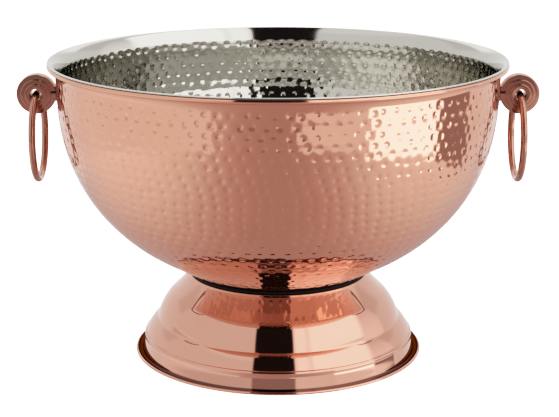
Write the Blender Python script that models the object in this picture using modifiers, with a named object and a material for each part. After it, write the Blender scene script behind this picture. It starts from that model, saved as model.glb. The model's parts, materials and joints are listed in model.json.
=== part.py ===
"""Footed, double-walled party tub with two ring handles.

Metres, +Z up.  The origin is on the floor under the middle of the bowl, and the handles are at -X and +X.
Every physical piece is an object of its own; pieces that touch keep a gap of GAP.
"""

import math

import bpy
from mathutils import Vector

# Sheet metal and clearances
SHEET = 0.0010
GAP = 0.0003
MERGE = 0.00001

# Bowl: a superellipse of revolution, r = radius * sin(u) ** SIDE_POWER below the equator
EQUATOR_Z = 0.2278
OUTER_RADIUS = 0.1830
OUTER_DEPTH = 0.1655
INNER_RADIUS = 0.1793
INNER_DEPTH = 0.1573
SIDE_POWER = 0.946
FLOOR_POWER = 0.911
CONE_START = math.radians(33.0)
OUTER_FLOOR_Z = 0.0722
INNER_FLOOR_Z = 0.0804
FLOOR_BEND = 0.003

# Lip
HEIGHT = 0.2514
RIM_RADIUS = 0.1905
RIM_BEAD = 0.0019
RIM_BEAD_Z = HEIGHT - SHEET - GAP - RIM_BEAD
RIM_BEAD_ARC = (155, -150)
OUTER_FLARE_START = Vector((0.1837, 0.2412))
OUTER_FLARE_CORNER = Vector((0.1844, 0.2452))
OUTER_FLARE_END = Vector((0.1870, 0.2472))
INNER_SWELL_CORNER = Vector((0.1797, 0.2345))
INNER_NECK = Vector((0.1803, 0.2409))
INNER_FLARE_CORNER = Vector((0.1827, 0.2482))
INNER_ROLL_ARC = (126, 72)

# Foot: one spun sheet, from the flat top down to the rolled edge
NECK_Z = 0.0687
NECK_TOP = Vector((0.0743, NECK_Z))
NECK_SIDE = Vector((0.0761, 0.0677))
SHOULDER = Vector((0.0916, 0.0506))
GROOVE = Vector((0.1035, 0.0295))
MOULDING_TOP = Vector((0.1132, 0.0171))
MOULDING_FOOT = Vector((0.1148, 0.0143))
SKIRT_TOP = Vector((0.1146, 0.0138))
SKIRT_FOOT = Vector((0.1160, 0.0044))
SKIRT_CORNER = Vector((0.1164, SHEET))
FLANGE_START = Vector((0.1178, SHEET))
FLANGE_EDGE = Vector((0.1194, SHEET))
FOOT_RADIUS = 0.1227
FOOT_BEAD = 0.0013
FOOT_BEAD_ARC = (160, -90)
NECK_BOW = -0.03
SHOULDER_BOW = 0.066
SKIRT_BOW = 0.062
MOULDING_BOW = 0.2

# Gasket and centre fastening
GASKET_INNER = 0.0580
GASKET_RADIUS = 0.0762
STUD_RADIUS = 0.0040
STUD_HOLE = 0.0045
STUD_FLANGE_RADIUS = 0.0140
STUD_FLANGE = 0.0025
STUD_END_Z = 0.0540
STUD_CHAMFER = 0.0006
WASHER_RADIUS = 0.0120
WASHER_THICKNESS = 0.0016
LOCK_WASHER_RADIUS = 0.0074
LOCK_WASHER_THICKNESS = 0.0020
LOCK_WASHER_SLIT = 0.0014
SLIT_LENGTH = 0.0120
NUT_ACROSS_FLATS = 0.0130
NUT_HEIGHT = 0.0065

# Handles: the boss is turned about the ring's hinge axis, which runs along Y
BOSS_X = 0.2010
BOSS_Z = 0.2212
BOSS_RINGS = ((0.0090, 0.0092), (0.0126, 0.0078), (0.0164, 0.0060))
BOSS_HOLE = 0.0048
BOSS_CHAMFER = 0.0006
STEM_RADIUS = 0.0065
SEAT_WASHER_RADIUS = 0.0060
SEAT_WASHER_THICKNESS = 0.0007
STEM_FACE = OUTER_RADIUS + SEAT_WASHER_THICKNESS + 2 * GAP
STEM_END = 0.1930
RING_RADIUS = 0.0360
RING_WIRE = 0.0030

# Boss screw, put in from between the two walls
SCREW_RADIUS = 0.0018
SCREW_HOLE = 0.0022
WALL_HOLE = 0.0025
SCREW_TIP = 0.1910
SCREW_HOLE_END = 0.1916
SCREW_SEAT_X = 0.1813
SCREW_HEAD_RADIUS = 0.0034
SCREW_HEAD = 0.0008
SCREW_CROWN = 0.0003

# Facets of the turned pieces
BOWL_STEPS = 48
WALL_SEGMENTS = 7
WALL_CROWDING = 1.4
BOSS_TURN_STEPS = 20
SMALL_STEPS = 16
SCREW_HOLE_SIDES = 12
NUT_SIDES = 6
RING_SEGMENTS = 36
RING_SIDES = 8

COPPER = (0.72, 0.34, 0.23, 1.0)
NICKEL = (0.60, 0.58, 0.53, 1.0)
RUBBER = (0.012, 0.012, 0.012, 1.0)
ZINC = (0.55, 0.56, 0.58, 1.0)


# ---------------------------------------------------------------- profile helpers, points are (r, z)

def straight_normal(start, end):
    """Unit normal on the left of the way from start to end."""
    along = (end - start).normalized()
    return Vector((-along.y, along.x))


def offset_path(points, distance):
    """The path moved to the left of its direction, with mitred corners."""
    moved = []
    for index, point in enumerate(points):
        before = straight_normal(points[max(index - 1, 0)], points[max(index, 1)])
        last = len(points) - 1
        after = straight_normal(points[min(index, last - 1)], points[min(index + 1, last)])
        mitre = (before + after).normalized()
        moved.append(point + mitre * (distance / mitre.dot(after)))
    return moved


def bowed(start, end, bow, count):
    """Points after start up to end, on a curve whose height to the left is bow times its chord."""
    chord = end - start
    left = Vector((-chord.y, chord.x))
    steps = [index / count for index in range(1, count + 1)]
    return [start + chord * t + left * (4.0 * bow * t * (1.0 - t)) for t in steps]


def bent(start, corner, end, count):
    """Points from start to end, rounding the corner between them."""
    steps = [index / count for index in range(count + 1)]
    return [start * (1 - t) ** 2 + corner * (2 * t * (1 - t)) + end * t ** 2 for t in steps]


def bead(centre, radius, arc, count):
    """Points round a rolled edge, clockwise over an arc of (first, last) degrees."""
    first, last = arc
    angles = [math.radians(first + (last - first) * index / count) for index in range(count + 1)]
    return [centre + Vector((math.cos(a), math.sin(a))) * radius for a in angles]


def bowl_wall(radius, depth, floor_z):
    """Bowl surface from the flat floor's edge, up a cone tangent to the superellipse, to the equator."""
    def at(u):
        r = radius * math.sin(u) ** SIDE_POWER
        return Vector((r, EQUATOR_Z - depth * math.cos(u) ** FLOOR_POWER))

    quarter = math.pi / 2
    left_over = [(1 - index / WALL_SEGMENTS) ** WALL_CROWDING for index in range(WALL_SEGMENTS + 1)]
    angles = [quarter - (quarter - CONE_START) * rest for rest in left_over]
    wall = [at(u) for u in angles]
    sine, cosine = math.sin(CONE_START), math.cos(CONE_START)
    rise = depth * FLOOR_POWER * cosine ** (FLOOR_POWER - 1) * sine
    run = radius * SIDE_POWER * sine ** (SIDE_POWER - 1) * cosine
    slope = rise / run
    corner = Vector((wall[0].x - (wall[0].y - floor_z) / slope, floor_z))
    cone = (wall[0] - corner).normalized()
    floor_side = corner - Vector((FLOOR_BEND, 0))
    return [floor_side, corner + cone * FLOOR_BEND] + wall


# ---------------------------------------------------------------- object helpers

def clear_scene():
    for old in list(bpy.data.objects):
        bpy.data.objects.remove(old, do_unlink=True)


def make_collection(name):
    collection = bpy.data.collections.new(name)
    bpy.context.scene.collection.children.link(collection)
    return collection


def make_material(name, color, roughness, metallic):
    material = bpy.data.materials.new(name)
    material.use_nodes = True
    shader = material.node_tree.nodes["Principled BSDF"]
    shader.inputs["Base Color"].default_value = color
    shader.inputs["Roughness"].default_value = roughness
    shader.inputs["Metallic"].default_value = metallic
    material.diffuse_color = color
    return material


def place(obj, material, collection=None):
    """Give a new object its material and move it to its collection."""
    for old in list(obj.users_collection):
        old.objects.unlink(obj)
    (collection or PARTS).objects.link(obj)
    obj.data.materials.clear()
    if material:
        obj.data.materials.append(material)
    return obj


def turned(name, profile, material, steps, closed=True):
    """A profile of (r, z) points turned about Z with a Screw modifier."""
    count = len(profile)
    edges = [(index, index + 1) for index in range(count - 1)]
    if closed:
        edges.append((count - 1, 0))
    mesh = bpy.data.meshes.new(name)
    mesh.from_pydata([(point[0], 0.0, point[1]) for point in profile], edges, [])
    obj = place(bpy.data.objects.new(name, mesh), material)
    screw = obj.modifiers.new("Turn", "SCREW")
    screw.axis = "Z"
    screw.angle = math.tau
    screw.steps = steps
    screw.render_steps = steps
    screw.use_merge_vertices = True
    screw.merge_threshold = MERGE
    screw.use_smooth_shade = True
    return obj


def cylinder(name, radius, depth, centre, axis, material=None, sides=SMALL_STEPS, collection=None):
    """A cylinder whose length runs along the named axis."""
    turn = {"X": (0, math.pi / 2, 0), "Y": (math.pi / 2, 0, 0), "Z": (0, 0, 0)}[axis]
    bpy.ops.mesh.primitive_cylinder_add(vertices=sides, radius=radius, depth=depth,
                                        location=centre, rotation=turn)
    obj = bpy.context.active_object
    obj.name = name
    obj.data.name = name
    return place(obj, material, collection)


def cutter_cylinder(name, radius, depth, centre, axis, sides=SMALL_STEPS):
    obj = cylinder(name, radius, depth, centre, axis, sides=sides, collection=CUTTERS)
    obj.display_type = "WIRE"
    obj.hide_render = True
    return obj


def boolean(obj, tool, operation):
    modifier = obj.modifiers.new(operation.title(), "BOOLEAN")
    modifier.operation = operation
    modifier.solver = "EXACT"
    modifier.object = tool


# ---------------------------------------------------------------- bowls and foot

def make_outer_bowl(material):
    wall = bowl_wall(OUTER_RADIUS, OUTER_DEPTH, OUTER_FLOOR_Z)
    flare = bent(OUTER_FLARE_START, OUTER_FLARE_CORNER, OUTER_FLARE_END, 3)[:-1]
    outside = [Vector((STUD_HOLE, OUTER_FLOOR_Z))] + wall + flare
    inside = offset_path(outside, SHEET)
    roll = bead(Vector((RIM_RADIUS - RIM_BEAD, RIM_BEAD_Z)), RIM_BEAD, RIM_BEAD_ARC, 5)
    profile = inside + roll + outside[::-1]
    bowl = turned("outer_bowl", profile, material, BOWL_STEPS)
    screw_holes = cutter_cylinder("boss_screw_hole_cutter", WALL_HOLE, 2 * BOSS_X,
                                  (0, 0, BOSS_Z), "X")
    boolean(bowl, screw_holes, "DIFFERENCE")
    return bowl


def make_inner_bowl(material):
    wall = bowl_wall(INNER_RADIUS, INNER_DEPTH, INNER_FLOOR_Z)
    swell = bent(wall[-1], INNER_SWELL_CORNER, INNER_NECK, 2)[1:]
    roll_centre = Vector((RIM_RADIUS - RIM_BEAD, RIM_BEAD_Z))
    roll = bead(roll_centre, HEIGHT - RIM_BEAD_Z, INNER_ROLL_ARC, 3)
    flare = bent(INNER_NECK, INNER_FLARE_CORNER, roll[0], 3)[1:-1]
    inside = [Vector((0.0, INNER_FLOOR_Z))] + wall + swell + flare + roll
    outside = offset_path(inside, -SHEET)
    outside[0].x = 0.0
    profile = inside + outside[::-1]
    return turned("inner_bowl", profile, material, BOWL_STEPS, closed=False)


def make_pedestal_foot(material):
    outside = [Vector((STUD_HOLE, NECK_Z)), NECK_TOP, NECK_SIDE]
    outside += bowed(NECK_SIDE, SHOULDER, NECK_BOW, 3)
    outside += bowed(SHOULDER, GROOVE, SHOULDER_BOW, 3)
    outside += bowed(GROOVE, MOULDING_TOP, SKIRT_BOW, 2)
    outside += bowed(MOULDING_TOP, MOULDING_FOOT, MOULDING_BOW, 2)
    outside += [SKIRT_TOP]
    outside += bent(SKIRT_FOOT, SKIRT_CORNER, FLANGE_START, 2) + [FLANGE_EDGE]
    inside = offset_path(outside, -SHEET)
    roll = bead(Vector((FOOT_RADIUS - FOOT_BEAD, FOOT_BEAD)), FOOT_BEAD, FOOT_BEAD_ARC, 4)
    profile = outside + roll + inside[::-1]
    return turned("pedestal_foot", profile, material, BOWL_STEPS)


def make_neck_gasket(material):
    low = NECK_Z + GAP
    high = OUTER_FLOOR_Z - GAP
    round_in = (high - low) / 4
    profile = [Vector((GASKET_INNER, high)), Vector((GASKET_RADIUS - round_in, high)),
               Vector((GASKET_RADIUS, high - round_in)), Vector((GASKET_RADIUS, low + round_in)),
               Vector((GASKET_RADIUS - round_in, low)), Vector((GASKET_INNER, low))]
    return turned("neck_gasket", profile, material, BOWL_STEPS)


# ---------------------------------------------------------------- centre fastening

def ring_profile(inner, outer, low, high):
    return [Vector((inner, high)), Vector((outer, high)), Vector((outer, low)), Vector((inner, low))]


def make_bowl_stud(material):
    seat = OUTER_FLOOR_Z + SHEET + GAP
    profile = [Vector((0, seat + STUD_FLANGE)), Vector((STUD_FLANGE_RADIUS, seat + STUD_FLANGE)),
               Vector((STUD_FLANGE_RADIUS, seat)), Vector((STUD_RADIUS, seat)),
               Vector((STUD_RADIUS, STUD_END_Z + STUD_CHAMFER)),
               Vector((STUD_RADIUS - STUD_CHAMFER, STUD_END_Z)), Vector((0, STUD_END_Z))]
    return turned("bowl_stud", profile, material, SMALL_STEPS, closed=False)


def make_foot_fasteners(material):
    """Washer, spring washer and nut under the foot's flat top."""
    high = NECK_Z - SHEET - GAP
    low = high - WASHER_THICKNESS
    turned("foot_washer", ring_profile(STUD_HOLE, WASHER_RADIUS, low, high), material, SMALL_STEPS)

    high = low - GAP
    low = high - LOCK_WASHER_THICKNESS
    profile = ring_profile(STUD_HOLE, LOCK_WASHER_RADIUS, low, high)
    lock_washer = turned("foot_lock_washer", profile, material, SMALL_STEPS)
    bpy.ops.mesh.primitive_cube_add(size=1.0, location=(LOCK_WASHER_RADIUS, 0, (low + high) / 2))
    slit = place(bpy.context.active_object, None, CUTTERS)
    slit.name = "lock_washer_slit_cutter"
    slit.dimensions = (SLIT_LENGTH, LOCK_WASHER_SLIT, 2 * LOCK_WASHER_THICKNESS)
    slit.display_type = "WIRE"
    slit.hide_render = True
    boolean(lock_washer, slit, "DIFFERENCE")

    middle = low - GAP - NUT_HEIGHT / 2
    corner_radius = NUT_ACROSS_FLATS / math.sqrt(3)
    nut = cylinder("foot_nut", corner_radius, NUT_HEIGHT, (0, 0, middle), "Z", material,
                   sides=NUT_SIDES)
    bore = cutter_cylinder("nut_bore_cutter", STUD_HOLE, NUT_HEIGHT * 2, (0, 0, middle), "Z")
    boolean(nut, bore, "DIFFERENCE")


# ---------------------------------------------------------------- handles

def boss_profile():
    """Stepped half profile of the boss, from its hole outward, mirrored about its middle plane."""
    hole_edge = BOSS_RINGS[0][1] - BOSS_CHAMFER
    half = [Vector((BOSS_HOLE, hole_edge)), Vector((BOSS_HOLE + BOSS_CHAMFER, BOSS_RINGS[0][1]))]
    for radius, height in BOSS_RINGS:
        if height != half[-1].y:
            half.append(Vector((half[-1].x, height)))
        half += [Vector((radius - BOSS_CHAMFER, height)), Vector((radius, height - BOSS_CHAMFER))]
    return half + [Vector((point.x, -point.y)) for point in half[::-1]]


def make_handle_boss(name, side, material):
    boss = turned(name, boss_profile(), material, BOSS_TURN_STEPS)
    boss.location = (side * BOSS_X, 0, BOSS_Z)
    boss.rotation_euler = (math.pi / 2, 0, 0)
    stem_length = STEM_END - STEM_FACE
    stem = cutter_cylinder(name + "_stem_tool", STEM_RADIUS, stem_length,
                           (side * (STEM_FACE + stem_length / 2), 0, BOSS_Z), "X")
    boolean(boss, stem, "UNION")
    hole_start = STEM_FACE - STEM_RADIUS
    depth = SCREW_HOLE_END - hole_start
    hole = cutter_cylinder(name + "_screw_hole_cutter", SCREW_HOLE, depth,
                           (side * (hole_start + depth / 2), 0, BOSS_Z), "X", sides=SCREW_HOLE_SIDES)
    boolean(boss, hole, "DIFFERENCE")
    return boss


def make_handle_ring(name, side, material):
    pivot = bpy.data.objects.new(name + "_pivot", None)
    PARTS.objects.link(pivot)
    pivot.location = (side * BOSS_X, 0, BOSS_Z)
    bpy.ops.mesh.primitive_torus_add(major_radius=RING_RADIUS, minor_radius=RING_WIRE,
                                     major_segments=RING_SEGMENTS, minor_segments=RING_SIDES,
                                     rotation=(0, math.pi / 2, 0))
    ring = place(bpy.context.active_object, material)
    ring.name = name
    ring.data.shade_smooth()
    ring.parent = pivot
    ring.location = (0, 0, -RING_RADIUS)
    return ring


def make_boss_fasteners(prefix, side, screw_material, washer_material):
    """Seat washer between the stem and the outer wall, and a thin-headed screw from between the walls."""
    washer_inner = OUTER_RADIUS + GAP
    washer_outer = washer_inner + SEAT_WASHER_THICKNESS
    washer = turned(prefix + "_boss_washer",
                    ring_profile(SCREW_HOLE, SEAT_WASHER_RADIUS, washer_inner, washer_outer),
                    washer_material, SMALL_STEPS)
    head_end = SCREW_SEAT_X - SCREW_HEAD
    profile = [Vector((0, SCREW_TIP)), Vector((SCREW_RADIUS, SCREW_TIP)),
               Vector((SCREW_RADIUS, SCREW_SEAT_X)), Vector((SCREW_HEAD_RADIUS, SCREW_SEAT_X)),
               Vector((SCREW_HEAD_RADIUS, head_end + SCREW_CROWN)),
               Vector((SCREW_HEAD_RADIUS - SCREW_CROWN, head_end)), Vector((0, head_end))]
    screw = turned(prefix + "_boss_screw", profile, screw_material, SMALL_STEPS, closed=False)
    for piece in (washer, screw):
        piece.location = (0, 0, BOSS_Z)
        piece.rotation_euler = (0, side * math.pi / 2, 0)


# ---------------------------------------------------------------- the object

clear_scene()
PARTS = make_collection("footed_party_tub")
CUTTERS = make_collection("cutters")

make_outer_bowl(make_material("hammered_copper", COPPER, 0.16, 1.0))
make_inner_bowl(make_material("hammered_nickel", NICKEL, 0.14, 1.0))
make_pedestal_foot(make_material("polished_copper", COPPER, 0.10, 1.0))
make_neck_gasket(make_material("gasket_rubber", RUBBER, 0.75, 0.0))
make_bowl_stud(make_material("zinc_stud", ZINC, 0.35, 1.0))
make_foot_fasteners(make_material("zinc_fasteners", ZINC, 0.35, 1.0))

for prefix, side in (("left", -1), ("right", 1)):
    make_handle_boss(prefix + "_handle_boss", side, make_material(prefix + "_boss_copper", COPPER, 0.18, 1.0))
    make_handle_ring(prefix + "_handle_ring", side, make_material(prefix + "_ring_copper", COPPER, 0.16, 1.0))
    make_boss_fasteners(prefix, side, make_material(prefix + "_boss_screw_zinc", ZINC, 0.35, 1.0),
                        make_material(prefix + "_washer_rubber", RUBBER, 0.75, 0.0))
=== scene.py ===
"""Looks of the footed party tub: hammered copper and nickel bowls, spun foot, turned bosses, rings.

Metres, +Z up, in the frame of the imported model.  Profiles are lists of (radius, height) points.
"""

import json
import math

import bmesh
import bpy
import numpy as np
from mathutils import Matrix, Vector
from mathutils.geometry import delaunay_2d_cdt


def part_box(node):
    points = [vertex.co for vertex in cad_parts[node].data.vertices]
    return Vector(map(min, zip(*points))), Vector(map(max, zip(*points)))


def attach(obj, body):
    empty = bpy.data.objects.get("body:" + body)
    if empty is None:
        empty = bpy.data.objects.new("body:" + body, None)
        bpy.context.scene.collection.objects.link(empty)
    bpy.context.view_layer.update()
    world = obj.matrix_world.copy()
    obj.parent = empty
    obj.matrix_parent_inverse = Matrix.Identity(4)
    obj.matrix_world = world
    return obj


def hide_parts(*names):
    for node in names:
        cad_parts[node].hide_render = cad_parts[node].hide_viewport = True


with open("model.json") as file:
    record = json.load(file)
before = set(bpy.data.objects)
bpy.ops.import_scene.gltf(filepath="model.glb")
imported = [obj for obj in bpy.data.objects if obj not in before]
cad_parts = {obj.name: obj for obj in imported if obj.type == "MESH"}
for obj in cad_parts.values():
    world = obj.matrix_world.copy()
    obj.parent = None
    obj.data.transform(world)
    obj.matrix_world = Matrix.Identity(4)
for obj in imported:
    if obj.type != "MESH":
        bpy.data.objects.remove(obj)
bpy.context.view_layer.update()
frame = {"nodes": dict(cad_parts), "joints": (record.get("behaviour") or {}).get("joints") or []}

MM = 0.001
SHEET = 1.0 * MM
GAP = 0.3 * MM
BODY = "tub"

# Bowl walls, as in the solids: a superellipse of revolution over a cone and a flat floor
EQUATOR_Z = 0.2278
SIDE_POWER = 0.946
FLOOR_POWER = 0.911
CONE_START = math.radians(33.0)
OUTER = {"radius": 0.1830, "depth": 0.1655, "floor": 0.0722}
INNER = {"radius": 0.1793, "depth": 0.1573, "floor": 0.0804}
HOLE_RADIUS = 0.0045
HEIGHT = 0.2514
RIM_RADIUS = 0.1905

# Lip and foot, as in the solids: points are (radius, height), and arcs are (first, last) angle in degrees
OUTER_FLARE = ((0.1837, 0.2412), (0.1844, 0.2452), (0.1870, 0.2472))
RIM_BEAD = 1.9 * MM
RIM_BEAD_Z = HEIGHT - SHEET - GAP - RIM_BEAD
INNER_NECK = (0.1803, 0.2409)
INNER_SWELL_CORNER = (0.1797, 0.2345)
INNER_FLARE_CORNER = (0.1827, 0.2482)
INNER_ROLL_ARC = (126, 72)
BEAD_ARC = (155, -150)
LIP_FOOT_Z = 0.2425
NECK_Z = 0.0687
NECK_TOP = (0.0743, NECK_Z)
NECK_CORNER = (0.0760, NECK_Z)
NECK_SIDE = (0.0761, 0.0677)
SHOULDER = (0.0916, 0.0506)
GROOVE = (0.1035, 0.0295)
MOULDING_TOP = (0.1132, 0.0171)
MOULDING_FOOT = (0.1148, 0.0143)
SKIRT = ((0.1146, 0.0138), (0.1149, 0.0110), (0.1155, 0.0075))
SKIRT_FOOT = (0.1160, 0.0044)
SKIRT_CORNER = (0.1164, SHEET)
FLANGE_START = (0.1178, SHEET)
FLANGE_EDGE = (0.1194, SHEET)
FOOT_RADIUS = 0.1227
FOOT_BEAD = 1.3 * MM
FOOT_BEAD_ARC = (160, -90)
NECK_BOW = -0.03
SHOULDER_BOW = 0.066
SKIRT_BOW = 0.062
MOULDING_BOW = 0.2
GASKET_RADIUS = 0.0762
GASKET_INNER = 0.0580

# Hammer marks: rows of small round hollows, staggered, each a little off its place.  A hollow's points lie
# on rings, given as pairs of share of its radius and number of points
PIT_PITCH = 10.4 * MM
PIT_ROW_PITCH = 8.2 * MM
PIT_RADIUS = 3.1 * MM
PIT_DEPTH = 0.34 * MM
PIT_RINGS = ((0.0, 1), (0.46, 8), (0.80, 12), (1.0, 12))
PIT_SHARPNESS = 1.5
WAVE_HEIGHT = 0.05 * MM
OUTER_HAMMERED_TOP_Z = 0.2398
INNER_HAMMERED_TOP_Z = INNER_NECK[1]
OUTER_HAMMERED_FOOT_RADIUS = 0.0790
INNER_HAMMERED_FOOT_RADIUS = 0.0150
BAND_EDGE = 0.3 * MM
BAND_FADE = 6 * MM
BAND_SEAM = 0.2 * MM
RIM_COLUMNS = 432

# Handles: the boss is turned about the ring's hinge axis, which runs along Y.  Its steps are pairs of
# radius and half the width there
HINGES = {joint["child"]: joint["pos_m"] for joint in frame["joints"]}
BOSS_X, _, BOSS_Z = HINGES["right_ring"]
BOSS_RINGS = ((9.0 * MM, 9.2 * MM), (12.6 * MM, 7.8 * MM), (16.4 * MM, 6.0 * MM))
BOSS_HOLE = 4.8 * MM
BOSS_EDGE = 0.6 * MM
STEM_RADIUS = 6.5 * MM
SEAT_WASHER_THICKNESS = 0.7 * MM
STEM_FACE = OUTER["radius"] + SEAT_WASHER_THICKNESS + 2 * GAP
STEM_END = 0.1930
RING_RADIUS = 36.0 * MM
RING_WIRE = 3.0 * MM

# Colours: each metal has a duller one that clouds it
# Painted shade for the foot's trough between skirt and bead: a dark colour, and a tint that dims its
# reflection
TROUGH_SHADE = (0.110, 0.048, 0.040, 1)
TROUGH_SHADE_REFLECTION = (0.48, 0.36, 0.32, 1)
COPPER = (0.712, 0.349, 0.244, 1)
COPPER_DULL = (0.60, 0.27, 0.18, 1)
FOOT_COPPER = (0.645, 0.330, 0.246, 1)
HANDLE_BROWN = (0.450, 0.214, 0.158, 1)
HANDLE_BROWN_DULL = (0.315, 0.131, 0.086, 1)
NICKEL = (0.540, 0.521, 0.472, 1)
NICKEL_DULL = (0.450, 0.431, 0.382, 1)
ZINC = (0.48, 0.49, 0.51, 1)
ZINC_DULL = (0.37, 0.38, 0.40, 1)
# Height below which the trough's painted shade reaches
TROUGH_SHADE_HEIGHT = 2.6 * MM
RUBBER = (0.004, 0.003, 0.003, 1)
RUBBER_DUSTY = (0.013, 0.011, 0.010, 1)
WHITE = (1, 1, 1, 1)

# Camera: place in metres, tilt up from straight down in degrees, lens and sensor in millimetres
CAMERA_PLACE = (0.0012, -1.2633, 0.4472)
CAMERA_TILT = 75.56
CAMERA_LENS = 98.83
CAMERA_SENSOR = 36.0

# Studio light by direction.  Turn is the angle round from -Y towards +X, and elevation the angle above the
# horizon, in degrees.  Rows: (from turn, to turn, from elevation, to elevation, edge width, brightness)
STUDIO_STRENGTH = 1.333
FLOOR_LIGHT = 0.42
SIDE_LIGHT = 0.70
FLOOR_TINT = (1.0, 0.80, 0.79, 1)
TINTED_UP_TO = (0.42, 0.75)
CARDS = (
    (-135, -32, -22, 5, 5, 0.85),
    (-135, -20, 5, 50, 5, 0.78),
    (-135, -20, 50, 100, 8, 0.88),
    (10, 47, -20, 8, 5, 0.88),
    (14, 28, 8, 100, 8, 1.50),
    (28, 86, 8, 100, 8, 1.60),
    (47, 86, -24, -8, 4, 2.40),
    (47, 86, -8, 8, 4, 0.95),
    (87, 112, -26, -10, 3, 0.31),
    (-135, -21, -8, 4, 3, 0.66),
    (-21, 14, -10, 8, 2, 0.29),
    (-21, 14, 8, 100, 2, 0.01),
)

# The studio behind the object: a low light, another above the step, and a brighter panel in its middle.
# Each pair is where the mask begins and where it is full, in degrees, or for the edge in the direction's Y
BACK_EDGE = (0.38, 0.48)
BACK_FOOT = (-22, -16)
BACK_STEP = (16, 24)
BACK_LOW_LIGHT = 0.80
BACK_LIGHT = 0.68
BACK_PANEL_LIGHT = 1.20
BACK_PANEL = (31, 39)

# White stage that only the camera sees
STAGE_RADIUS = 6.0
BACKDROP_RADIUS = 6.1
STAGE_GLOW = 3.0

# Tone curve: shown tone for scene brightness, up to the brightness shown as white
TONE_WHITE = 2.5
EVEN_TONES = (0.08, 0.16, 0.24, 0.32)
SHOULDER_TONES = ((0.40, 0.395), (0.60, 0.56), (0.82, 0.71), (1.12, 0.83), (1.60, 0.92), (2.28, 0.968))


# ---------------------------------------------------------------- profiles

def point(r, z):
    return np.array((r, z), float)


def bent(start, corner, end, count):
    """Points from start to end, rounding the corner between them."""
    t = np.linspace(0, 1, count + 1)[:, None]
    return list(start * (1 - t) ** 2 + corner * (2 * t * (1 - t)) + end * t ** 2)


def bowed(start, end, bow, count):
    """Points after start up to end, on a curve whose height to the left is bow times its chord."""
    chord = end - start
    left = np.array((-chord[1], chord[0]))
    t = np.linspace(0, 1, count + 1)[1:, None]
    return list(start + chord * t + left * (4 * bow * t * (1 - t)))


def arc(centre, radius, first, last, count):
    angles = np.radians(np.linspace(first, last, count + 1))
    return [centre + radius * np.array((math.cos(a), math.sin(a))) for a in angles]


def normals_of(points):
    """Unit normals on the left of the way along the points."""
    way = np.gradient(np.array(points), axis=0)
    way /= np.linalg.norm(way, axis=1)[:, None]
    return np.stack((-way[:, 1], way[:, 0]), axis=1)


def beside(points, distance):
    """The path moved to its left."""
    return list(np.array(points) + normals_of(points) * distance)


def bowl_wall(bowl, count):
    """The bowl's surface from the flat floor's edge, up the cone and superellipse, to the equator."""
    def at(u):
        return point(bowl["radius"] * math.sin(u) ** SIDE_POWER,
                     EQUATOR_Z - bowl["depth"] * math.cos(u) ** FLOOR_POWER)

    quarter = math.pi / 2 - 1e-6
    wall = [at(u) for u in np.linspace(CONE_START, quarter, count + 1)]
    sine, cosine = math.sin(CONE_START), math.cos(CONE_START)
    rise = bowl["depth"] * FLOOR_POWER * cosine ** (FLOOR_POWER - 1) * sine
    run = bowl["radius"] * SIDE_POWER * sine ** (SIDE_POWER - 1) * cosine
    corner = point(wall[0][0] - (wall[0][1] - bowl["floor"]) * run / rise, bowl["floor"])
    cone = (wall[0] - corner) / np.linalg.norm(wall[0] - corner)
    bend = 3 * MM
    cone_foot = corner + cone * bend
    cone_line = [cone_foot + (wall[0] - cone_foot) * t for t in np.linspace(0, 1, 12)[1:-1]]
    return bent(corner - point(bend, 0), corner, cone_foot, 4) + cone_line + wall


def outer_bowl_outside():
    flare_start = point(*OUTER_FLARE[0])
    flare = bent(flare_start, point(*OUTER_FLARE[1]), point(*OUTER_FLARE[2]), 12)
    wall = bowl_wall(OUTER, 60)
    neck = [wall[-1] + (flare_start - wall[-1]) * t for t in np.linspace(0, 1, 5)[1:-1]]
    return [point(HOLE_RADIUS, OUTER["floor"])] + wall + neck + flare


def inner_bowl_inside():
    wall = bowl_wall(INNER, 60)
    neck = point(*INNER_NECK)
    swell = bent(wall[-1], point(*INNER_SWELL_CORNER), neck, 12)[1:]
    roll_centre = point(RIM_RADIUS - RIM_BEAD, RIM_BEAD_Z)
    roll = arc(roll_centre, HEIGHT - RIM_BEAD_Z, *INNER_ROLL_ARC, 12)
    flare = bent(neck, point(*INNER_FLARE_CORNER), roll[0], 20)[1:-1]
    floor = [point(r, INNER["floor"]) for r in np.linspace(0.002, 0.070, 12)]
    return floor + wall + swell + flare + roll


def foot_outside():
    neck_top, neck_side = point(*NECK_TOP), point(*NECK_SIDE)
    shoulder, groove = point(*SHOULDER), point(*GROOVE)
    moulding_top, moulding_foot = point(*MOULDING_TOP), point(*MOULDING_FOOT)
    path = [point(HOLE_RADIUS, NECK_Z), point(0.03, NECK_Z), neck_top - point(1 * MM, 0)]
    path += bent(neck_top, point(*NECK_CORNER), neck_side, 4)
    path += bowed(neck_side, shoulder, NECK_BOW, 16)
    path += bowed(shoulder, groove, SHOULDER_BOW, 18)
    path += bowed(groove, moulding_top, SKIRT_BOW, 12)
    path += bowed(moulding_top, moulding_foot, MOULDING_BOW, 8)
    path += [point(*corner) for corner in SKIRT]
    path += bent(point(*SKIRT_FOOT), point(*SKIRT_CORNER), point(*FLANGE_START), 8)
    return path + [point(*FLANGE_EDGE)]


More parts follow.
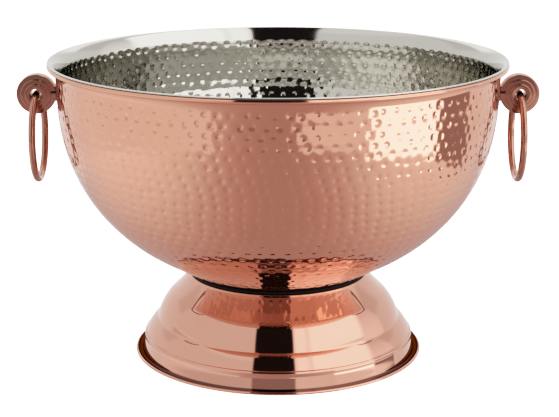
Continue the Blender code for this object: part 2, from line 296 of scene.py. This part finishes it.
class Meridian:
    """A profile measured by the length along it, with normals on the right of the way up."""

    def __init__(self, points):
        self.points = np.array(points)
        steps = np.linalg.norm(np.diff(self.points, axis=0), axis=1)
        self.length = np.concatenate(([0], np.cumsum(steps)))
        self.normal = -normals_of(points)
        mean_radius = (self.points[1:, 0] + self.points[:-1, 0]) / 2
        self.spread = np.concatenate(([0], np.cumsum(steps / np.maximum(mean_radius, MM))))

    def at(self, distance):
        """Radius, height and the two parts of the normal at these distances."""
        columns = (self.points[:, 0], self.points[:, 1], self.normal[:, 0], self.normal[:, 1])
        return [np.interp(distance, self.length, column) for column in columns]

    def unrolled(self, distance):
        """The distance on a scale that keeps circles round beside the angle."""
        return np.interp(distance, self.length, self.spread)

    def where(self, column, value):
        """The distance at which the radius (column 0) or height (column 1) first passes a value."""
        passed = int(np.argmax(self.points[:, column] >= value))
        return float(self.length[passed])


# ---------------------------------------------------------------- turned sheets

class Sheet:
    """Points and faces of one turned piece, put together ring by ring."""

    def __init__(self):
        self.points = []
        self.faces = []

    def ring(self, radius, height, count):
        first = len(self.points)
        for angle in np.arange(count) * (math.tau / count):
            self.points.append((radius * math.cos(angle), radius * math.sin(angle), height))
        return list(range(first, first + count))

    def bridge(self, low, high):
        """Faces between two rings, which may have unlike counts."""
        n, m = len(low), len(high)
        if n == m:
            for i in range(n):
                self.faces.append((low[i], low[(i + 1) % n], high[(i + 1) % n], high[i]))
            return
        i = j = 0
        while i < n or j < m:
            if (i + 1) / n <= (j + 1) / m:
                self.faces.append((low[i % n], low[(i + 1) % n], high[j % m]))
                i += 1
            else:
                self.faces.append((low[i % n], high[(j + 1) % m], high[j % m]))
                j += 1

    def lathe(self, profile, count, start=None, end=None):
        """Rings along a profile, from the ring start and to the ring end where they are given."""
        ring = start
        first = start
        for r, z in profile:
            above = self.ring(r, z, count)
            if ring is None:
                first = above
            else:
                self.bridge(ring, above)
            ring = above
        if end is not None:
            self.bridge(ring, end)
            ring = end
        return first, ring

    def cap(self, ring, height):
        """A fan that closes a ring at the axis."""
        middle = len(self.points)
        self.points.append((0.0, 0.0, height))
        n = len(ring)
        for i in range(n):
            self.faces.append((ring[i], ring[(i + 1) % n], middle))

    def object(self, name, material, slot, sharp_degrees=50, place=Matrix()):
        mesh = bpy.data.meshes.new(name)
        mesh.from_pydata(self.points, [], self.faces)
        work = bmesh.new()
        work.from_mesh(mesh)
        bmesh.ops.recalc_face_normals(work, faces=work.faces)
        work.to_mesh(mesh)
        work.free()
        mesh.transform(place)
        mesh.shade_smooth()
        mesh.set_sharp_from_angle(angle=math.radians(sharp_degrees))
        mesh.materials.append(material)
        piece = bpy.data.objects.new(name, mesh)
        bpy.context.scene.collection.objects.link(piece)
        return piece


def hammer_marks(meridian, start, end, seed):
    """Rows of (angle, distance, radius, depth) for the pits between two distances."""
    rng = np.random.default_rng(seed)
    marks = []
    rows = int((end - start) / PIT_ROW_PITCH)
    for row in range(rows):
        distance = end - (row + 0.5) * PIT_ROW_PITCH
        radius = meridian.at(distance)[0]
        count = max(int(round(math.tau * radius / PIT_PITCH)), 5)
        turns = (np.arange(count) + 0.5 * (row % 2)) / count
        along = rng.normal(0, 0.085 * PIT_PITCH, count) / radius
        angles = (turns * math.tau + along) % math.tau
        distances = distance + rng.normal(0, 0.07 * PIT_ROW_PITCH, count)
        sizes = PIT_RADIUS * rng.uniform(0.82, 1.14, count)
        depths = PIT_DEPTH * rng.uniform(0.55, 1.15, count)
        marks.append(np.stack((angles, distances, sizes, depths), axis=1))
    return np.concatenate(marks)


def wave(angle, along, seed):
    """Slow unevenness of beaten sheet, in metres."""
    rng = np.random.default_rng(seed)
    total = np.zeros_like(angle)
    for turns in (9, 14, 21, 31):
        phases = rng.uniform(0, math.tau, 2)
        total += np.sin(turns * angle + phases[0]) * np.sin(turns * 1.1 * along + phases[1]) * 9 / turns
    return total * WAVE_HEIGHT


def hammered_band(sheet, meridian, low, high, start, end, seed):
    """Hammered surface between the ring low at distance start and the ring high at distance end."""
    rng = np.random.default_rng(seed + 1)
    marks = hammer_marks(meridian, start, end, seed)
    angles, distances, heights = [], [], []
    for share, count in PIT_RINGS:
        turn = rng.uniform(0, math.tau, len(marks))
        for index in range(count):
            around = turn + math.tau * index / count + rng.normal(0, 0.02, len(marks))
            reach = marks[:, 2] * share
            centre_radius = meridian.at(marks[:, 1])[0]
            angles.append(marks[:, 0] + reach * np.cos(around) / centre_radius)
            distances.append(marks[:, 1] + reach * np.sin(around))
            heights.append(-marks[:, 3] * (1 - share ** 2) ** PIT_SHARPNESS)
    angles, distances, heights = (np.concatenate(part) for part in (angles, distances, heights))
    inside = (distances > start + BAND_EDGE) & (distances < end - BAND_EDGE)
    angles, distances, heights = angles[inside] % math.tau, distances[inside], heights[inside]

    along = meridian.unrolled(distances)
    fade = np.clip((np.minimum(distances - start, end - distances)) / BAND_FADE, 0, 1)
    lift = heights + wave(angles, along, seed) * fade
    r, z, normal_r, normal_z = meridian.at(distances)
    r, z = r + normal_r * lift, z + normal_z * lift
    first = len(sheet.points)
    sheet.points += list(zip(r * np.cos(angles), r * np.sin(angles), z))

    plane = list(zip(angles, along, range(first, first + len(angles))))
    for ring, distance in ((low, start), (high, end)):
        level = float(meridian.unrolled(distance))
        plane += [(math.tau * i / len(ring), level, ring[i]) for i in range(len(ring))]
    # The plane goes on a little past each end of the turn, so that its two ends meet on the piece
    margin = 0.3
    plane += [(a + math.tau, v, i) for a, v, i in plane if a < margin] \
        + [(a - math.tau, v, i) for a, v, i in plane if a > math.tau - margin]
    found = delaunay_2d_cdt([Vector((a, v)) for a, v, _ in plane], [], [], 0, 1e-9)
    origin = [members[0] for members in found[3]]
    for face in found[2]:
        middle = sum(found[0][i].x for i in face) / 3
        if 0 <= middle < math.tau:
            corners = tuple(plane[origin[i]][2] for i in face)
            if len(set(corners)) == 3:
                sheet.faces.append(corners)


# ---------------------------------------------------------------- materials

def new_material(name):
    material = bpy.data.materials.new(name)
    material.use_nodes = True
    return material, material.node_tree, material.node_tree.nodes["Principled BSDF"]


def add_node(tree, kind, **inputs):
    """A node with some of its inputs set; a value that is a socket is linked."""
    node = tree.nodes.new(kind)
    for name, value in inputs.items():
        socket = node.inputs[int(name[1:])] if name[0] == "_" else node.inputs[name]
        if isinstance(value, bpy.types.NodeSocket):
            tree.links.new(value, socket)
        else:
            socket.default_value = value
    return node


def maths(tree, operation, *values):
    node = tree.nodes.new("ShaderNodeMath")
    node.operation = operation
    for socket, value in zip(node.inputs, values):
        if isinstance(value, bpy.types.NodeSocket):
            tree.links.new(value, socket)
        else:
            socket.default_value = value
    return node.outputs[0]


def noise(tree, vector, scale, detail=3.0, roughness=0.5):
    node = add_node(tree, "ShaderNodeTexNoise", Vector=vector, Scale=scale, Detail=detail,
                    Roughness=roughness)
    return node.outputs[0]


def spread(tree, value, low, high, new_low, new_high):
    """The value moved from one range to another, with smooth ends."""
    node = tree.nodes.new("ShaderNodeMapRange")
    node.interpolation_type = "SMOOTHSTEP"
    for index, number in enumerate((low, high, new_low, new_high)):
        node.inputs[index + 1].default_value = number
    tree.links.new(value, node.inputs[0])
    return node.outputs[0]


def blend_colors(tree, share, first, second):
    """The first colour, which may be a socket, blended into the second."""
    node = tree.nodes.new("ShaderNodeMix")
    node.data_type = "RGBA"
    tree.links.new(share, node.inputs[0])
    if isinstance(first, bpy.types.NodeSocket):
        tree.links.new(first, node.inputs[6])
    else:
        node.inputs[6].default_value = first
    node.inputs[7].default_value = second
    return node.outputs[2]


def place_vector(tree):
    return tree.nodes.new("ShaderNodeTexCoord").outputs["Object"]


def turned_vector(tree):
    """Radius and height only, so that a texture runs round the piece in rings."""
    split = add_node(tree, "ShaderNodeSeparateXYZ", Vector=place_vector(tree))
    x, y, z = split.outputs
    radius = maths(tree, "SQRT", maths(tree, "ADD", maths(tree, "MULTIPLY", x, x),
                                       maths(tree, "MULTIPLY", y, y)))
    return add_node(tree, "ShaderNodeCombineXYZ", X=radius, Y=z).outputs[0]


def polished_metal(name, color, dull_color, roughness, turned=False, dullness=0.25):
    """Plated, polished sheet: slight clouding in colour and gloss, and fine marks, in rings if turned."""
    material, tree, shader = new_material(name)
    place = place_vector(tree)
    cloud = noise(tree, place, 26.0, 5.0, 0.6)
    share = spread(tree, cloud, 0.42, 0.80, 0.0, dullness)
    tree.links.new(blend_colors(tree, share, color, dull_color), shader.inputs["Base Color"])
    shader.inputs["Metallic"].default_value = 1.0
    smudge = noise(tree, place, 60.0, 6.0, 0.65)
    tree.links.new(spread(tree, smudge, 0.35, 0.75, roughness * 0.75, roughness * 1.5),
                   shader.inputs["Roughness"])
    if turned:
        fine = noise(tree, turned_vector(tree), 1500.0, 3.0, 0.7)
        strength = 0.05
    else:
        fine = noise(tree, place, 900.0, 2.0)
        strength = 0.03
    bump = add_node(tree, "ShaderNodeBump", Strength=strength, Distance=0.1 * MM, Height=fine)
    tree.links.new(bump.outputs[0], shader.inputs["Normal"])
    return material


def paint_trough_shade(material, inner, outer, height):
    """Painted shade: a dark colour and a dimmed reflection in the ring-shaped trough between two radii and
    below a height.
    """
    tree = material.node_tree
    shader = tree.nodes["Principled BSDF"]
    radius, level, _ = add_node(tree, "ShaderNodeSeparateXYZ", Vector=turned_vector(tree)).outputs
    edge = 0.3 * MM
    mask = maths(tree, "MULTIPLY", spread(tree, radius, inner, inner + edge, 0, 1),
                 spread(tree, radius, outer - edge, outer, 1, 0))
    mask = maths(tree, "MULTIPLY", mask, spread(tree, level, height, height + 3 * edge, 1, 0))
    unshaded_color = shader.inputs["Base Color"].links[0].from_socket
    tree.links.new(blend_colors(tree, mask, unshaded_color, TROUGH_SHADE), shader.inputs["Base Color"])
    tree.links.new(blend_colors(tree, mask, WHITE, TROUGH_SHADE_REFLECTION), shader.inputs["Specular Tint"])
    return material


def rubber():
    material, tree, shader = new_material("black_rubber")
    place = place_vector(tree)
    dust = noise(tree, place, 140.0, 5.0, 0.6)
    share = spread(tree, dust, 0.45, 0.8, 0.0, 0.5)
    tree.links.new(blend_colors(tree, share, RUBBER, RUBBER_DUSTY), shader.inputs["Base Color"])
    tree.links.new(spread(tree, dust, 0.3, 0.8, 0.55, 0.8), shader.inputs["Roughness"])
    shader.inputs["Specular IOR Level"].default_value = 0.10
    grain = noise(tree, place, 2500.0, 2.0)
    bump = add_node(tree, "ShaderNodeBump", Strength=0.25, Distance=0.1 * MM, Height=grain)
    tree.links.new(bump.outputs[0], shader.inputs["Normal"])
    return material


# ---------------------------------------------------------------- pieces

def make_outer_bowl(material):
    outside = outer_bowl_outside()
    meridian = Meridian(outside)
    start = meridian.where(0, OUTER_HAMMERED_FOOT_RADIUS)
    end = meridian.where(1, OUTER_HAMMERED_TOP_Z)
    sheet = Sheet()
    floor_count = 144
    below = [p for p, s in zip(outside, meridian.length) if s < start - BAND_SEAM]
    above = [p for p, s in zip(outside, meridian.length) if s > end + BAND_SEAM]
    low_r, low_z = meridian.at(start)[:2]
    high_r, high_z = meridian.at(end)[:2]
    hole, low = sheet.lathe(below + [(low_r, low_z)], floor_count)
    high = sheet.ring(high_r, high_z, RIM_COLUMNS)
    hammered_band(sheet, meridian, low, high, start, end, seed=11)
    roll = arc(point(RIM_RADIUS - RIM_BEAD, RIM_BEAD_Z), RIM_BEAD, *BEAD_ARC, 22)
    inside = beside(outside, SHEET)
    inside_top = [p for p in inside if p[1] > LIP_FOOT_Z][::-1]
    lip = sheet.lathe(above + roll[::-1] + inside_top, RIM_COLUMNS, start=high)[1]
    inside_wall = [p for p in inside if p[1] <= LIP_FOOT_Z][::-4]
    last = sheet.lathe(inside_wall, floor_count, start=lip)[1]
    sheet.bridge(last, hole)
    piece = sheet.object("outer_bowl_hammered", material, "hammered_copper")
    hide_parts("outer_bowl")
    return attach(piece, BODY)


def make_inner_bowl(material):
    inside = inner_bowl_inside()
    meridian = Meridian(inside)
    meridian.normal = -meridian.normal
    start = meridian.where(0, INNER_HAMMERED_FOOT_RADIUS)
    end = meridian.where(1, INNER_HAMMERED_TOP_Z)
    sheet = Sheet()
    floor_count = 48
    above = [p for p, s in zip(inside, meridian.length) if s > end + BAND_SEAM]
    low_r, low_z = meridian.at(start)[:2]
    high_r, high_z = meridian.at(end)[:2]
    middle, low = sheet.lathe([(0.006, INNER["floor"]), (low_r, low_z)], floor_count)
    sheet.cap(middle, INNER["floor"])
    high = sheet.ring(high_r, high_z, RIM_COLUMNS)
    hammered_band(sheet, meridian, low, high, start, end, seed=23)
    outside = beside(inside, -SHEET)
    end_angle = INNER_ROLL_ARC[1]
    edge = arc((inside[-1] + outside[-1]) / 2, SHEET / 2, end_angle, end_angle - 180, 6)[1:-1]
    outside_top = [p for p in outside if p[1] > LIP_FOOT_Z][::-1]
    lip = sheet.lathe(above + edge + outside_top, RIM_COLUMNS, start=high)[1]
    outside_wall = [p for p in outside if p[1] <= LIP_FOOT_Z and p[0] > 10 * MM][::-4]
    last = sheet.lathe(outside_wall, 96, start=lip)[1]
    sheet.cap(last, INNER["floor"] - SHEET)
    piece = sheet.object("inner_bowl_hammered", material, "hammered_nickel")
    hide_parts("inner_bowl")
    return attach(piece, BODY)


def make_foot(material):
    outside = foot_outside()
    inside = beside(outside, -SHEET)
    for p in inside:
        p[1] = max(p[1], 0.0)
    roll = arc(point(FOOT_RADIUS - FOOT_BEAD, FOOT_BEAD), FOOT_BEAD, *FOOT_BEAD_ARC, 20)
    sheet = Sheet()
    first, last = sheet.lathe(outside + roll, 288)
    end = sheet.lathe(inside[::-2], 144, start=last)[1]
    sheet.bridge(end, first)
    piece = sheet.object("pedestal_foot_spun", material, "polished_copper")
    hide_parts("pedestal_foot")
    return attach(piece, BODY)


def make_gasket(material):
    low, high = (corner.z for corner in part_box("neck_gasket"))
    middle, half = (low + high) / 2, (high - low) / 2
    rim = arc(point(GASKET_RADIUS - half, middle), half, 90, -90, 12)
    edge = 0.2 * MM
    inner = [point(GASKET_INNER + edge, low), point(GASKET_INNER, low + half),
             point(GASKET_INNER + edge, high)]
    sheet = Sheet()
    first, last = sheet.lathe(rim + inner, 192)
    sheet.bridge(last, first)
    piece = sheet.object("neck_gasket_moulded", material, "black_rubber")
    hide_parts("neck_gasket")
    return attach(piece, BODY)


def boss_profile():
    """Closed stepped profile of the boss with rounded edges, from one rim of its hole to the other."""
    hole_centre = point(BOSS_HOLE + BOSS_EDGE, BOSS_RINGS[0][1] - BOSS_EDGE)
    half = arc(hole_centre, BOSS_EDGE, 180, 90, 5)
    inner = BOSS_HOLE
    for radius, height in BOSS_RINGS:
        if inner > BOSS_HOLE:
            half.append(point(inner, height))
        half += arc(point(radius, height) - BOSS_EDGE, BOSS_EDGE, 90, 0, 6)
        inner = radius
    return half + [p * (1, -1) for p in half[::-1]]


def make_boss(prefix, side, material):
    """The turned boss, joined to the stem that holds it off the bowl."""
    hinge = Matrix.Translation((side * BOSS_X, 0, BOSS_Z)) @ Matrix.Rotation(math.pi / 2, 4, "X")
    sheet = Sheet()
    first, last = sheet.lathe(boss_profile(), 128)
    sheet.bridge(last, first)
    boss = sheet.object(prefix + "_boss_turned", material, "handle_copper", 30, hinge)

    outward = Matrix.Translation((0, 0, BOSS_Z)) @ Matrix.Rotation(side * math.pi / 2, 4, "Y")
    edge = 0.3 * MM
    profile = [point(STEM_RADIUS - edge, STEM_FACE), point(STEM_RADIUS, STEM_FACE + edge)]
    profile.append(point(STEM_RADIUS, STEM_END))
    sheet = Sheet()
    low, high = sheet.lathe(profile, 64)
    sheet.cap(low, STEM_FACE)
    sheet.cap(high, STEM_END)
    stem = sheet.object(prefix + "_stem", material, "handle_copper", 30, outward)

    union = boss.modifiers.new("Stem", "BOOLEAN")
    union.operation = "UNION"
    union.object = stem
    graph = bpy.context.evaluated_depsgraph_get()
    joined = bpy.data.meshes.new_from_object(boss.evaluated_get(graph))
    boss.modifiers.clear()
    boss.data = joined
    joined.set_sharp_from_angle(angle=math.radians(30))
    bpy.data.objects.remove(stem)
    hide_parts(prefix + "_handle_boss")
    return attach(boss, BODY)


def make_ring(prefix, side, material):
    """The round wire ring, hanging from the hinge axis."""
    upright = Matrix.Translation((side * BOSS_X, 0, BOSS_Z - RING_RADIUS)) \
        @ Matrix.Rotation(math.pi / 2, 4, "Y")
    sheet = Sheet()
    first, last = sheet.lathe(arc(point(RING_RADIUS, 0), RING_WIRE, 0, 345, 23), 160)
    sheet.bridge(last, first)
    piece = sheet.object(prefix + "_ring_bent", material, "handle_copper", 60, upright)
    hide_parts(prefix + "_handle_ring")
    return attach(piece, prefix + "_ring")


# ---------------------------------------------------------------- stage

def make_camera():
    data = bpy.data.cameras.new("camera")
    data.lens = CAMERA_LENS
    data.sensor_width = CAMERA_SENSOR
    camera = bpy.data.objects.new("camera", data)
    bpy.context.scene.collection.objects.link(camera)
    camera.location = CAMERA_PLACE
    camera.rotation_euler = (math.radians(CAMERA_TILT), 0, 0)
    bpy.context.scene.camera = camera


def light_world():
    world = bpy.data.worlds.new("studio")
    bpy.context.scene.world = world
    world.use_nodes = True
    tree = world.node_tree
    direction = tree.nodes.new("ShaderNodeTexCoord").outputs["Generated"]
    x, y, z = add_node(tree, "ShaderNodeSeparateXYZ", Vector=direction).outputs
    degrees = 180 / math.pi
    half_turn = maths(tree, "ARCTAN2", x, maths(tree, "SUBTRACT", 1, y))
    turn = maths(tree, "MULTIPLY", half_turn, 2 * degrees)
    elevation = maths(tree, "MULTIPLY", maths(tree, "ARCSINE", z), degrees)
    level = maths(tree, "MULTIPLY_ADD", maths(tree, "MULTIPLY", x, x), SIDE_LIGHT, FLOOR_LIGHT)

    def paint(brightness, mask):
        change = maths(tree, "SUBTRACT", brightness, level)
        return maths(tree, "MULTIPLY_ADD", mask, change, level)

    for left, right, bottom, top, edge, brightness in CARDS:
        half = edge / 2
        mask = spread(tree, turn, left - half, left + half, 0, 1)
        mask = maths(tree, "MULTIPLY", mask, spread(tree, turn, right - half, right + half, 1, 0))
        mask = maths(tree, "MULTIPLY", mask, spread(tree, elevation, bottom - half, bottom + half, 0, 1))
        mask = maths(tree, "MULTIPLY", mask, spread(tree, elevation, top - half, top + half, 1, 0))
        level = paint(brightness, mask)
    back = maths(tree, "MULTIPLY", spread(tree, y, *BACK_EDGE, 0, 1),
                 spread(tree, elevation, *BACK_FOOT, 0, 1))
    level = paint(BACK_LOW_LIGHT, back)
    back = maths(tree, "MULTIPLY", back, spread(tree, elevation, *BACK_STEP, 0, 1))
    level = paint(BACK_LIGHT, back)
    sideways = maths(tree, "ABSOLUTE", maths(tree, "ARCTAN2", x, y))
    narrow = spread(tree, sideways, *np.radians(BACK_PANEL), 1, 0)
    level = paint(BACK_PANEL_LIGHT, maths(tree, "MULTIPLY", back, narrow))
    background = tree.nodes["Background"]
    strength = maths(tree, "MULTIPLY", level, STUDIO_STRENGTH)
    tree.links.new(strength, background.inputs["Strength"])
    whiteness = spread(tree, level, *TINTED_UP_TO, 0, 1)
    tree.links.new(blend_colors(tree, whiteness, FLOOR_TINT, WHITE), background.inputs["Color"])


def seen_only_by_camera(obj):
    obj.visible_diffuse = False
    obj.visible_glossy = False
    obj.visible_transmission = False
    obj.visible_volume_scatter = False
    obj.visible_shadow = False


def make_stage():
    """A white floor and a white backdrop."""
    material, tree, shader = new_material("stage_white")
    shader.inputs["Base Color"].default_value = (0.8, 0.8, 0.8, 1)
    shader.inputs["Roughness"].default_value = 1.0
    shader.inputs["Specular IOR Level"].default_value = 0.0
    shader.inputs["Emission Color"].default_value = WHITE
    shader.inputs["Emission Strength"].default_value = STAGE_GLOW
    bpy.ops.mesh.primitive_circle_add(vertices=64, radius=STAGE_RADIUS, fill_type="NGON")
    floor = bpy.context.active_object
    floor.name = "floor"
    bpy.ops.mesh.primitive_uv_sphere_add(radius=BACKDROP_RADIUS, segments=64, ring_count=32)
    backdrop = bpy.context.active_object
    backdrop.name = "backdrop"
    for obj in (floor, backdrop):
        obj.data.materials.append(material)
        seen_only_by_camera(obj)


def set_tone():
    """Even tones up to the middle greys and a soft shoulder for the highlights."""
    view = bpy.context.scene.view_settings
    view.view_transform = "Standard"
    view.use_curve_mapping = True
    mapping = view.curve_mapping
    mapping.white_level = (TONE_WHITE, TONE_WHITE, TONE_WHITE)
    curve = mapping.curves[3]
    for x in EVEN_TONES:
        curve.points.new(x / TONE_WHITE, x)
    for x, y in SHOULDER_TONES:
        curve.points.new(x / TONE_WHITE, y)
    mapping.update()


# ---------------------------------------------------------------- the object

make_outer_bowl(polished_metal("hammered_copper_look", COPPER, COPPER_DULL, 0.07))
make_inner_bowl(polished_metal("hammered_nickel_look", NICKEL, NICKEL_DULL, 0.06))
spun_copper = polished_metal("spun_copper_look", FOOT_COPPER, COPPER_DULL, 0.035, turned=True, dullness=0.15)
# The foot, with painted shade in the trough between skirt and bead
make_foot(paint_trough_shade(spun_copper, SKIRT_FOOT[0] - 0.3 * MM, FOOT_RADIUS - FOOT_BEAD, TROUGH_SHADE_HEIGHT))
black_rubber = rubber()
make_gasket(black_rubber)

handle_copper = polished_metal("handle_copper_look", HANDLE_BROWN, HANDLE_BROWN_DULL, 0.10, dullness=0.6)
for prefix, side in (("left", -1), ("right", 1)):
    make_boss(prefix, side, handle_copper)
    make_ring(prefix, side, handle_copper)

zinc = polished_metal("zinc_look", ZINC, ZINC_DULL, 0.25)
for name, node in frame["nodes"].items():
    if not node.hide_render:
        node.data.materials.clear()
        node.data.materials.append(black_rubber if name.endswith("boss_washer") else zinc)

make_stage()
light_world()
set_tone()
make_camera()
